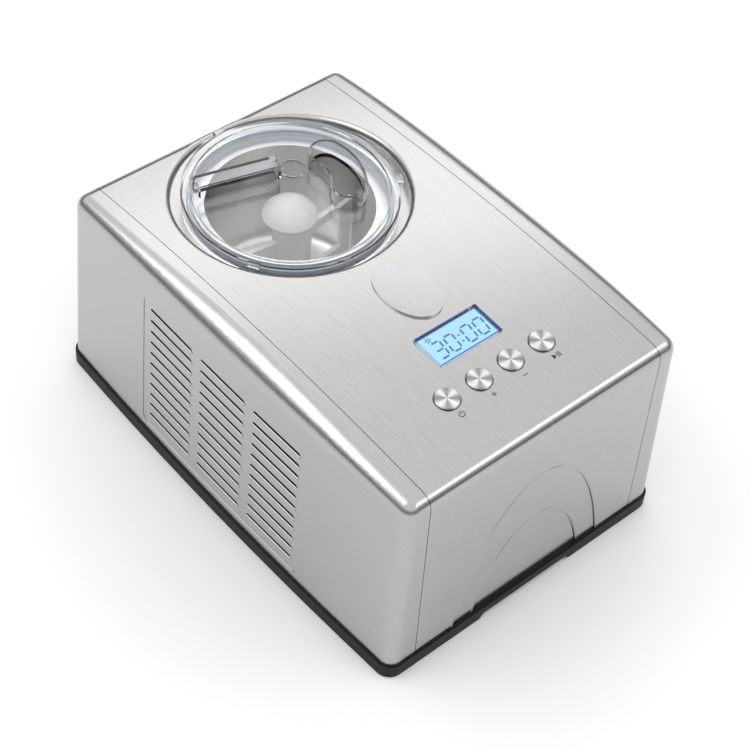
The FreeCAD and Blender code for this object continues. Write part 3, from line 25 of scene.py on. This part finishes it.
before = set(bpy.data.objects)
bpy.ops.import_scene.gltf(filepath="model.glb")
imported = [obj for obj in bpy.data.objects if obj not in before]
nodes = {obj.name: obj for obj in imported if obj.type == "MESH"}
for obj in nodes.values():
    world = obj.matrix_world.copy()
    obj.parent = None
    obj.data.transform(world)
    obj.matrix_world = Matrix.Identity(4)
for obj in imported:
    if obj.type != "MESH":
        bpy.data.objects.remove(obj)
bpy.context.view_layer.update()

# Camera fitted to the photograph; lens and sensor in millimetres
CAMERA_PLACE = (-0.6892, -0.7069, 1.1659)
CAMERA_HEADING = math.radians(44.97)
CAMERA_TILT = math.radians(48.13)
CAMERA_ROLL = math.radians(6.0)
CAMERA_LENS = 92.08
CAMERA_REACH = 50
SENSOR_WIDTH = 36.0

# Light: tint and strength of the sky between two heights, and soft boxes by place, target, size and watts
SKY_TINT = (1.0, 0.995, 0.985, 1)
SKY_RAMP = {"From Min": 0.25, "From Max": 0.6, "To Min": 0.22, "To Max": 1.12}
SOFT_BOXES = {
    "key": ((-1.1, 1.0, 2.0), (0, 0, 0.1), (1.6, 1.6), 12),
    "sweep": ((1.3, 1.5, 1.7), (0, 0, 0.15), (1.6, 0.8), 4),
    "strip": ((1.0, -1.25, 1.55), (0, -0.1, 0.15), (1.4, 0.3), 4.5),
}
FLOOR_SIZE = 40
FLOOR_MOTTLE = 3.0

# Colours, linear
STEEL_DARK = (0.42, 0.418, 0.414, 1)
STEEL_LIGHT = (0.52, 0.518, 0.514, 1)
# Buttons: the painted shade and painted highlight colours of the wedges on the turned faces, and the grey of
# their rings
BUTTON_PAINTED_SHADE = (0.27, 0.27, 0.275, 1)
BUTTON_PAINTED_HIGHLIGHT = (0.80, 0.80, 0.805, 1)
BUTTON_RING = (0.5, 0.5, 0.5, 1)
INK = (0.02, 0.02, 0.025, 1)
DIGIT_BLUE = (0.07, 0.33, 0.66, 1)
LIT_CYAN = (0.50, 0.80, 0.95, 1)
LIT_BLUE = (0.01, 0.07, 0.38, 1)
UNLIT_BLUE = (0.08, 0.16, 0.24, 1)
FLOOR_DARK = (0.94, 0.94, 0.94, 1)
FLOOR_LIGHT = (0.96, 0.96, 0.96, 1)

# Textures: cells per metre across and along brushed lines, over a button's width, in clear plastic and in ink,
# ink's darker shade, how many times coarser mottling is than grain, and the middle of a piece's own box
STREAK_CELLS = (2400, 34, 1)
CLOUD_CELLS = (140, 2.5, 1)
RING_CELLS = (220, 1, 1)
WAVE_CELLS = 160
INK_CELLS = 2400
INK_SHADE = 0.7
MOTTLE_SHARE = 18
MIDDLE = (0.5, 0.5, 0.5)

# Painted highlight and painted shade wedges on the turned buttons: pairs round the turn, first angle, and how
# sharp they are
PAINTED_WEDGE_PAIRS = 4.0
PAINTED_WEDGE_START = 0.9
PAINTED_WEDGE_EDGE = 0.9

# Brushed steel: the direction across the lines, the one along them, and the one that highlights stretch in
BRUSHED = {
    "steel_top": ((1, 0, 0), (0, 1, -1), (1, 0, 0)),
    "steel_back": ((1, 0, 0), (0, 0, 1), (1, 0, 0)),
    "steel_left": ((1, 0, 1), (0.5, 1, 0), (0.3, 0, 1)),
    "steel_right": ((-1, 0, 1), (-0.5, 1, 0), (-0.3, 0, 1)),
    "steel_bead": ((1, 0, 0), (0, 0, 1), (1, 0, 0)),
}

# Moulded, cast or painted: colour, darker colour, roughness, grain per metre, its depth and specular level
GRAINED = {
    "black_plastic": ((0.010, 0.010, 0.011), (0.007, 0.007, 0.008), 0.5, 5200, 0.00003, 0.2),
    "rubber": ((0.02, 0.02, 0.02), (0.012, 0.012, 0.012), 0.75, 3000, 0.00006, 0.5),
    "circuit_board": ((0.02, 0.14, 0.05), (0.015, 0.10, 0.04), 0.4, 1800, 0.00005, 0.5),
    "moulded_grey": ((0.05, 0.05, 0.055), (0.035, 0.035, 0.04), 0.5, 3200, 0.00004, 0.5),
    "collar_plastic": ((0.66, 0.71, 0.80), (0.60, 0.66, 0.76), 0.3, 2400, 0.00002, 0.5),
    "paddle_plastic": ((0.86, 0.86, 0.85), (0.78, 0.78, 0.77), 0.28, 2200, 0.00002, 0.5),
    "foam": ((0.80, 0.70, 0.42), (0.70, 0.60, 0.34), 0.85, 700, 0.0006, 0.5),
    "enamel": ((0.015, 0.015, 0.017), (0.010, 0.010, 0.012), 0.25, 900, 0.00008, 0.5),
    "nylon": ((0.74, 0.72, 0.64), (0.66, 0.64, 0.56), 0.45, 1500, 0.00003, 0.5),
}

# Plain metals: colour, darker colour, roughness and marks per metre
METALS = {
    "zinc": ((0.72, 0.73, 0.74), (0.55, 0.56, 0.57), 0.3, 400),
    "badge_metal": ((0.46, 0.46, 0.47), (0.42, 0.42, 0.43), 0.16, 140),
    "bowl_metal": ((0.80, 0.80, 0.79), (0.68, 0.68, 0.67), 0.32, 700),
    "copper": ((0.80, 0.42, 0.26), (0.56, 0.27, 0.16), 0.3, 300),
    "fin_aluminium": ((0.70, 0.71, 0.72), (0.52, 0.53, 0.54), 0.38, 400),
    "motor_steel": ((0.50, 0.51, 0.52), (0.38, 0.39, 0.40), 0.35, 400),
    "ground_steel": ((0.66, 0.66, 0.67), (0.50, 0.50, 0.51), 0.25, 400),
    "bronze": ((0.60, 0.40, 0.18), (0.44, 0.28, 0.12), 0.35, 400),
}

# Clear plastics: colour
CLEAR = {"window_plastic": (0.80, 0.92, 1.0), "lid_plastic": (0.97, 0.98, 1.0)}

# CAD nodes by finish
WEARERS = {
    "steel_top": ("top_front_panel",),
    "steel_back": ("back_panel",),
    "steel_left": ("left_cover",),
    "steel_right": ("right_cover",),
    "black_plastic": ("base_tray", "cable_gland", "button_carrier", "fan_shroud"),
    "rubber": ("rubber_feet", "compressor_grommets", "shaft_seal"),
    "zinc": ("back_screws", "board_screws", "gearbox_screws", "compressor_bolts"),
    "badge_metal": ("badge_plate",),
    "spun_aluminium": ("power_button", "time_up_button", "time_down_button", "start_stop_button"),
    "window_plastic": ("display_window",),
    "lid_plastic": ("lid",),
    "backlight": ("display_module",),
    "circuit_board": ("control_board",),
    "moulded_grey": ("tact_switches", "fan_rotor", "gearbox_housing", "gearbox_cover"),
    "collar_plastic": ("collar_ring",),
    "paddle_plastic": ("paddle",),
    "bowl_metal": ("bowl", "cooling_tank"),
    "copper": ("evaporator_coil", "filter_drier", "discharge_pipe", "liquid_pipe", "capillary_pipe",
               "suction_pipe"),
    "foam": ("foam_jacket",),
    "enamel": ("compressor",),
    "fin_aluminium": ("condenser",),
    "motor_steel": ("fan_motor", "drive_motor"),
    "nylon": ("output_gear", "idler_gear", "motor_pinion"),
    "ground_steel": ("drive_shaft", "idler_pin"),
    "bronze": ("shaft_bush",),
}

# Printed marks: places, and how far they lie above the surface
BUTTON_X = {"power": -0.0447, "more": -0.0149, "less": 0.0149, "start": 0.0447}
LABEL_Y = -0.1484
STROKE = 0.0006
PRINT_LIFT = 0.00006
RAY_START = 1.0
SAME_POINT = 1e-7

# Signs: arm or radius, the power ring's angles and its stem's foot, the start arrow and the pause bars
SIGN_ARM = 0.0022
POWER_ARC = (125, 415)
POWER_FOOT = 0.0003
ARROW_BACK = -0.0034
ARROW_TIP = 0.0002
PAUSE_X = (0.0014, 0.0032)
PAUSE_STROKE = STROKE * 1.4

# Display module's whole span, half size of its lit panel, and the border's ends from the panel's edge
DISPLAY_Y = -0.0947
MODULE_SPAN = (0.0624, 0.0336, 0.0)
PANEL_HALF = (0.0280, 0.0136, 0.0)
BORDER = (-0.0013, -0.0007)

# Display figures: seven-segment digits, the colon between them and a snowflake
FIGURES = "3000"
FIGURE_X = (-0.0230, -0.0115, 0.0040, 0.0155)
FIGURE_Y = DISPLAY_Y - 0.0090
FIGURE_LIFT = PRINT_LIFT * 3
DIGIT_WIDTH = 0.0078
DIGIT_HEIGHT = 0.0145
DIGIT_STROKE = 0.0016
DIGIT_GAP = DIGIT_STROKE * 0.65
DIGIT_SLANT = 0.12
SEGMENTS = {"0": "abcdef", "3": "abcdg"}
COLON_X = (-0.0006, 0.0010)
COLON_RISES = (0.0042, 0.0100)
FLAKE_ARMS = 6
FLAKE_REACH = (0.0006, 0.0028)
FLAKE_STROKE = 0.0007
FLAKE_PLACE = (-0.0200, DISPLAY_Y + 0.0095)

# Front wall and its two pressed arches: drop of the centre below the floor, height and half width
WALL_FOOT = (-0.1957, 0.0127)
WALL_LEAN = math.tan(math.radians(1.75))
ARCHES = {"outer": (0.060, 0.192, 0.080), "inner": (0.030, 0.115, 0.058)}
ARCH_STEP = {"outer": 0.0, "inner": 0.0009}
BEAD_RADIUS = 0.0006
BEAD_ROUNDNESS = 3
BEAD_SINK = 0.0002
BEAD_POINTS = 96


# Material helpers
class Finish:
    """A Principled material with short calls for its nodes."""

    def __init__(self, name, **sockets):
        self.material = bpy.data.materials.new(name)
        self.material.use_nodes = True
        self.tree = self.material.node_tree
        self.shader = next(n for n in self.tree.nodes if n.type == "BSDF_PRINCIPLED")
        for socket, value in sockets.items():
            self.shader.inputs[socket.replace("_", " ")].default_value = value

    def feed(self, socket, value):
        """Link another node's output to a socket, or set its value."""
        if isinstance(value, bpy.types.NodeSocket):
            self.tree.links.new(value, socket)
        else:
            socket.default_value = value

    def add(self, kind, inputs=(), **settings):
        node = self.tree.nodes.new("ShaderNode" + kind)
        for key, value in settings.items():
            setattr(node, key, value)
        for key, value in dict(inputs).items():
            self.feed(node.inputs[key], value)
        return node

    def wire(self, socket, name):
        self.tree.links.new(socket, self.shader.inputs[name])

    def place(self, kind="Object"):
        return self.add("TexCoord").outputs[kind]

    def from_middle(self):
        """Place in the piece's own box, from its middle."""
        return self.vector("SUBTRACT", self.place("Generated"), MIDDLE)

    def vector(self, operation, *values):
        return self.add("VectorMath", dict(enumerate(values)), operation=operation).outputs[0]

    def math(self, operation, *values):
        return self.add("Math", dict(enumerate(values)), operation=operation).outputs[0]

    def scaled(self, vector, scale):
        return self.vector("MULTIPLY", vector, scale)

    def along(self, vector, direction):
        node = self.add("VectorMath", {0: vector, 1: direction}, operation="DOT_PRODUCT")
        return node.outputs["Value"]

    def noise(self, vector, scale=1.0, detail=3.0, roughness=0.55):
        inputs = {"Vector": vector, "Scale": scale, "Detail": detail, "Roughness": roughness}
        return self.add("TexNoise", inputs).outputs["Fac"]

    def spread(self, value, low, high, start=0.3, end=0.7):
        inputs = {"Value": value, "From Min": start, "From Max": end, "To Min": low, "To Max": high}
        return self.add("MapRange", inputs).outputs["Result"]

    def mix(self, factor, first, second):
        node = self.add("Mix", {"Factor": factor}, data_type="RGBA")
        colours = [s for s in node.inputs if s.type == "RGBA"]
        for socket, colour in zip(colours, (first, second)):
            self.feed(socket, colour)
        return next(s for s in node.outputs if s.type == "RGBA")

    def blend(self, value, first, second):
        """Base colour that goes from the first colour to the second with a texture."""
        self.wire(self.mix(self.spread(value, 0.0, 1.0), first, second), "Base Color")

    def bump(self, height, strength, distance):
        node = self.add("Bump", {"Height": height, "Strength": strength, "Distance": distance})
        self.wire(node.outputs["Normal"], "Normal")


def opaque(colour):
    return (*colour, 1)


def brushed_steel(name):
    """Steel with fine lines and highlights stretched across them."""
    across, along, stretch = BRUSHED[name]
    finish = Finish(name, Metallic=1.0, Anisotropic=0.55)
    spot = finish.place()
    fine, coarse = finish.along(spot, across), finish.along(spot, along)
    lines = finish.add("CombineXYZ", {"X": fine, "Y": coarse}).outputs[0]
    streaks = finish.noise(finish.scaled(lines, STREAK_CELLS), detail=4.0, roughness=0.7)
    clouds = finish.noise(finish.scaled(lines, CLOUD_CELLS), detail=2.0)
    finish.blend(streaks, STEEL_DARK, STEEL_LIGHT)
    rough = finish.math("ADD", finish.spread(streaks, 0.0, 0.07), finish.spread(clouds, 0.19, 0.205))
    finish.wire(rough, "Roughness")
    finish.bump(streaks, strength=0.12, distance=0.00003)
    tangent = finish.add("CombineXYZ", dict(zip("XYZ", stretch)))
    finish.wire(tangent.outputs[0], "Tangent")
    return finish.material


def grained(name):
    """Moulded, cast or painted surface with a fine grain and soft mottling."""
    colour, darker, roughness, grain, depth, specular = GRAINED[name]
    finish = Finish(name, Specular_IOR_Level=specular)
    spot = finish.place()
    fine = finish.noise(spot, grain, detail=2.0)
    soft = finish.noise(spot, grain / MOTTLE_SHARE)
    finish.blend(soft, opaque(darker), opaque(colour))
    finish.wire(finish.spread(fine, roughness - 0.05, roughness + 0.05), "Roughness")
    finish.bump(fine, strength=0.25, distance=depth)
    return finish.material


def plain_metal(name):
    """Metal with small uneven marks."""
    colour, darker, roughness, scale = METALS[name]
    finish = Finish(name, Metallic=1.0)
    marks = finish.noise(finish.place(), scale, detail=4.0, roughness=0.6)
    finish.blend(marks, opaque(darker), opaque(colour))
    finish.wire(finish.spread(marks, roughness - 0.06, roughness + 0.08), "Roughness")
    finish.bump(marks, strength=0.12, distance=0.00005)
    return finish.material


def spun_metal(name):
    """Turned aluminium: rings about the piece's own axis, and painted highlight and painted shade wedges in
    the base colour standing in for the light that such a face catches.
    """
    finish = Finish(name, Metallic=1.0, Anisotropic=0.95, Anisotropic_Rotation=0.25)
    flat = finish.scaled(finish.from_middle(), (1, 1, 0))
    radius = finish.add("VectorMath", {0: flat}, operation="LENGTH").outputs["Value"]
    line = finish.add("CombineXYZ", {"X": radius}).outputs[0]
    rings = finish.noise(finish.scaled(line, RING_CELLS), roughness=0.7)
    parts = finish.add("SeparateXYZ", {0: flat}).outputs
    # Painted highlight and painted shade: light and dark wedges by angle round the axis, set into the base
    # colour
    angle = finish.math("ARCTAN2", parts["Y"], parts["X"])
    painted_wedges = finish.math("SINE", finish.math("MULTIPLY_ADD", angle, PAINTED_WEDGE_PAIRS, PAINTED_WEDGE_START))
    painted_light_share = finish.spread(painted_wedges, 0.0, 1.0, -PAINTED_WEDGE_EDGE, PAINTED_WEDGE_EDGE)
    painted_sheen = finish.mix(painted_light_share, BUTTON_PAINTED_SHADE, BUTTON_PAINTED_HIGHLIGHT)
    finish.wire(finish.mix(finish.spread(rings, 0.0, 0.35), painted_sheen, BUTTON_RING), "Base Color")
    finish.wire(finish.spread(rings, 0.2, 0.3), "Roughness")
    finish.bump(rings, strength=0.2, distance=0.00005)
    tangent = finish.add("Tangent", direction_type="RADIAL", axis="Z")
    finish.wire(tangent.outputs[0], "Tangent")
    return finish.material


def clear_plastic(name):
    """Clear plastic with a glossy coat and faint waves."""
    finish = Finish(name, Base_Color=opaque(CLEAR[name]), Transmission_Weight=1.0, IOR=1.32,
                    Coat_Weight=0.5, Coat_Roughness=0.03)
    waves = finish.noise(finish.place(), WAVE_CELLS, detail=2.0)
    finish.wire(finish.spread(waves, 0.02, 0.05), "Roughness")
    return finish.material


def backlight(name):
    """Lit display: pale cyan with a deep blue border."""
    finish = Finish(name, Base_Color=UNLIT_BLUE, Roughness=0.4, Emission_Strength=0.85)
    away = finish.vector("ABSOLUTE", finish.from_middle())
    past = finish.vector("SUBTRACT", finish.scaled(away, MODULE_SPAN), PANEL_HALF)
    parts = finish.add("SeparateXYZ", {0: past}).outputs
    edge = finish.math("MAXIMUM", parts["X"], parts["Y"])
    glow = finish.mix(finish.spread(edge, 0.0, 1.0, *BORDER), LIT_CYAN, LIT_BLUE)
    finish.wire(glow, "Emission Color")
    return finish.material


def printed(name, colour):
    """Ink with a slightly uneven coat."""
    finish = Finish(name, Roughness=0.45)
    coat = finish.noise(finish.place(), INK_CELLS, detail=2.0)
    finish.blend(coat, opaque(part * INK_SHADE for part in colour[:3]), colour)
    return finish.material


def dress_nodes():
    """The only material of each CAD node becomes its finish."""
    makers = {"spun_aluminium": spun_metal, "backlight": backlight}
    for table, maker in ((BRUSHED, brushed_steel), (GRAINED, grained), (METALS, plain_metal),
                         (CLEAR, clear_plastic)):
        makers.update(dict.fromkeys(table, maker))
    for finish, wearers in WEARERS.items():
        material = makers[finish](finish)
        for name in wearers:
            mesh = nodes[name].data
            mesh.materials.clear()
            mesh.materials.append(material)


# Flat marks laid on a surface
def bar(x0, y0, x1, y1, width):
    """Corners of a straight stroke."""
    way = Vector((x1 - x0, y1 - y0)).normalized()
    side = Vector((-way.y, way.x)) * width / 2
    start, end = Vector((x0, y0)), Vector((x1, y1))
    return [[start - side, end - side, end + side, start + side]]


def ring(radius, width, start, end, steps=48):
    """Quads of a round stroke between two angles in degrees."""
    inner, outer = radius - width / 2, radius + width / 2
    quads = []
    for step in range(steps):
        first, last = (math.radians(start + (end - start) * (step + k) / steps) for k in (0, 1))
        corners = ((inner, first), (outer, first), (outer, last), (inner, last))
        quads.append([Vector((r * math.cos(a), r * math.sin(a))) for r, a in corners])
    return quads


def flat_piece(name, faces, material, height):
    """Mesh of flat faces; height gives the place of each point."""
    build = bmesh.new()
    for face in faces:
        build.faces.new([build.verts.new(height(point)) for point in face])
    bmesh.ops.remove_doubles(build, verts=build.verts, dist=SAME_POINT)
    bmesh.ops.recalc_face_normals(build, faces=build.faces)
    mesh = bpy.data.meshes.new(name)
    build.to_mesh(mesh)
    build.free()
    mesh.materials.append(material)
    piece = bpy.data.objects.new(name, mesh)
    bpy.context.collection.objects.link(piece)
    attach(piece, "housing")
    return piece


def laid_on(name, lift):
    """Place of a flat point on the upper face of a node."""
    mesh = nodes[name].data
    skin = BVHTree.FromPolygons([v.co for v in mesh.vertices], [p.vertices for p in mesh.polygons])

    def height(point):
        hit = skin.ray_cast(Vector((point.x, point.y, RAY_START)), Vector((0, 0, -1)))[0]
        return Vector((point.x, point.y, hit.z + lift))
    return height


def moved(faces, x, y):
    return [[point + Vector((x, y)) for point in face] for face in faces]


def make_symbols():
    """Generic signs under the buttons: power, more, less, start and pause."""
    ink = printed("label_ink", INK)
    arm, half = SIGN_ARM, STROKE / 2
    dash = bar(-arm, 0, arm, 0, STROKE)
    signs = {
        "power": ring(arm, STROKE, *POWER_ARC) + bar(0, POWER_FOOT, 0, arm + STROKE, STROKE),
        "more": dash + bar(0, half, 0, arm, STROKE) + bar(0, -arm, 0, -half, STROKE),
        "less": dash,
        "start": [[Vector((ARROW_BACK, -arm)), Vector((ARROW_TIP, 0)), Vector((ARROW_BACK, arm))]],
    }
    for x in PAUSE_X:
        signs["start"] += bar(x, -arm, x, arm, PAUSE_STROKE)
    place = laid_on("top_front_panel", PRINT_LIFT)
    for sign, faces in signs.items():
        piece = flat_piece("sign_" + sign, moved(faces, BUTTON_X[sign], LABEL_Y), ink, place)


def digit(figure, x, y):
    """Strokes of one seven-segment figure with its lower left corner at a point."""
    wide, half, gap = DIGIT_WIDTH, DIGIT_HEIGHT / 2, DIGIT_GAP
    top = 2 * half
    strokes = {
        "a": (gap, top, wide - gap, top), "g": (gap, half, wide - gap, half), "d": (gap, 0, wide - gap, 0),
        "b": (wide, half + gap, wide, top - gap), "c": (wide, gap, wide, half - gap),
        "f": (0, half + gap, 0, top - gap), "e": (0, gap, 0, half - gap),
    }
    faces = []
    for key in SEGMENTS[figure]:
        faces += bar(*strokes[key], DIGIT_STROKE)
    return [[Vector((x + p.x + p.y * DIGIT_SLANT, y + p.y)) for p in face] for face in faces]


def make_figures():
    """Time on the display, with a snowflake in the corner."""
    ink = printed("figure_ink", DIGIT_BLUE)
    faces = []
    for figure, x in zip(FIGURES, FIGURE_X):
        faces += digit(figure, x, FIGURE_Y)
    for rise in COLON_RISES:
        lean = rise * DIGIT_SLANT
        y = FIGURE_Y + rise
        faces += bar(COLON_X[0] + lean, y, COLON_X[1] + lean, y, DIGIT_STROKE)
    for turn in range(FLAKE_ARMS):
        angle = 2 * math.pi * turn / FLAKE_ARMS
        way = Vector((math.cos(angle), math.sin(angle)))
        start, end = (way * reach for reach in FLAKE_REACH)
        faces += moved(bar(*start, *end, FLAKE_STROKE), *FLAKE_PLACE)
    piece = flat_piece("display_figures", faces, ink, laid_on("display_module", FIGURE_LIFT))


def make_arch_beads():
    """Rolled edge of each pressed arch in the front wall."""
    steel = brushed_steel("steel_bead")
    for label, (drop, rise, half) in ARCHES.items():
        start = math.asin((WALL_FOOT[1] + drop) / rise)
        curve = bpy.data.curves.new("arch_bead_" + label, "CURVE")
        curve.dimensions = "3D"
        curve.bevel_depth = BEAD_RADIUS
        curve.bevel_resolution = BEAD_ROUNDNESS
        curve.use_fill_caps = True
        line = curve.splines.new("POLY")
        line.points.add(BEAD_POINTS - 1)
        for step, point in enumerate(line.points):
            angle = start + (math.pi - 2 * start) * step / (BEAD_POINTS - 1)
            z = rise * math.sin(angle) - drop
            y = WALL_FOOT[0] + (z - WALL_FOOT[1]) * WALL_LEAN + BEAD_SINK + ARCH_STEP[label]
            point.co = (half * math.cos(angle), y, z, 1)
        curve.materials.append(steel)
        bead = bpy.data.objects.new("arch_bead_" + label, curve)
        bpy.context.collection.objects.link(bead)
        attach(bead, "housing")


# Scene around the object
def make_camera():
    data = bpy.data.cameras.new("camera")
    data.sensor_width = SENSOR_WIDTH
    data.lens = CAMERA_LENS
    data.clip_end = CAMERA_REACH
    camera = bpy.data.objects.new("camera", data)
    turn = (Matrix.Rotation(-CAMERA_HEADING, 4, "Z")
            @ Matrix.Rotation(math.pi / 2 - CAMERA_TILT, 4, "X")
            @ Matrix.Rotation(CAMERA_ROLL, 4, "Z"))
    camera.matrix_world = Matrix.Translation(CAMERA_PLACE) @ turn
    bpy.context.collection.objects.link(camera)
    bpy.context.scene.camera = camera


def make_floor():
    finish = Finish("floor_white", Roughness=0.6, Specular_IOR_Level=0.2)
    finish.blend(finish.noise(finish.place(), FLOOR_MOTTLE), FLOOR_DARK, FLOOR_LIGHT)
    bpy.ops.mesh.primitive_plane_add(size=FLOOR_SIZE)
    floor = bpy.context.object
    floor.name = "floor"
    floor.data.materials.append(finish.material)


def make_sky():
    """Sky that is dark at the horizon and bright above."""
    world = bpy.data.worlds.new("studio")
    world.use_nodes = True
    tree = world.node_tree
    sky = tree.nodes["Background"]
    sky.inputs["Color"].default_value = SKY_TINT
    parts = tree.nodes.new("ShaderNodeSeparateXYZ")
    tree.links.new(tree.nodes.new("ShaderNodeTexCoord").outputs["Generated"], parts.inputs[0])
    ramp = tree.nodes.new("ShaderNodeMapRange")
    for key, value in SKY_RAMP.items():
        ramp.inputs[key].default_value = value
    tree.links.new(parts.outputs["Z"], ramp.inputs["Value"])
    tree.links.new(ramp.outputs["Result"], sky.inputs["Strength"])
    bpy.context.scene.world = world


def make_soft_boxes():
    for name, (place, target, size, power) in SOFT_BOXES.items():
        data = bpy.data.lights.new(name, "AREA")
        data.shape = "RECTANGLE"
        data.size, data.size_y = size
        data.energy = power
        lamp = bpy.data.objects.new(name, data)
        lamp.location = place
        way = Vector(target) - Vector(place)
        lamp.rotation_euler = way.to_track_quat("-Z", "Y").to_euler()
        bpy.context.collection.objects.link(lamp)


dress_nodes()
make_arch_beads()
make_symbols()
make_figures()
make_floor()
make_sky()
make_soft_boxes()
make_camera()
bpy.context.scene.view_settings.view_transform = "Standard"
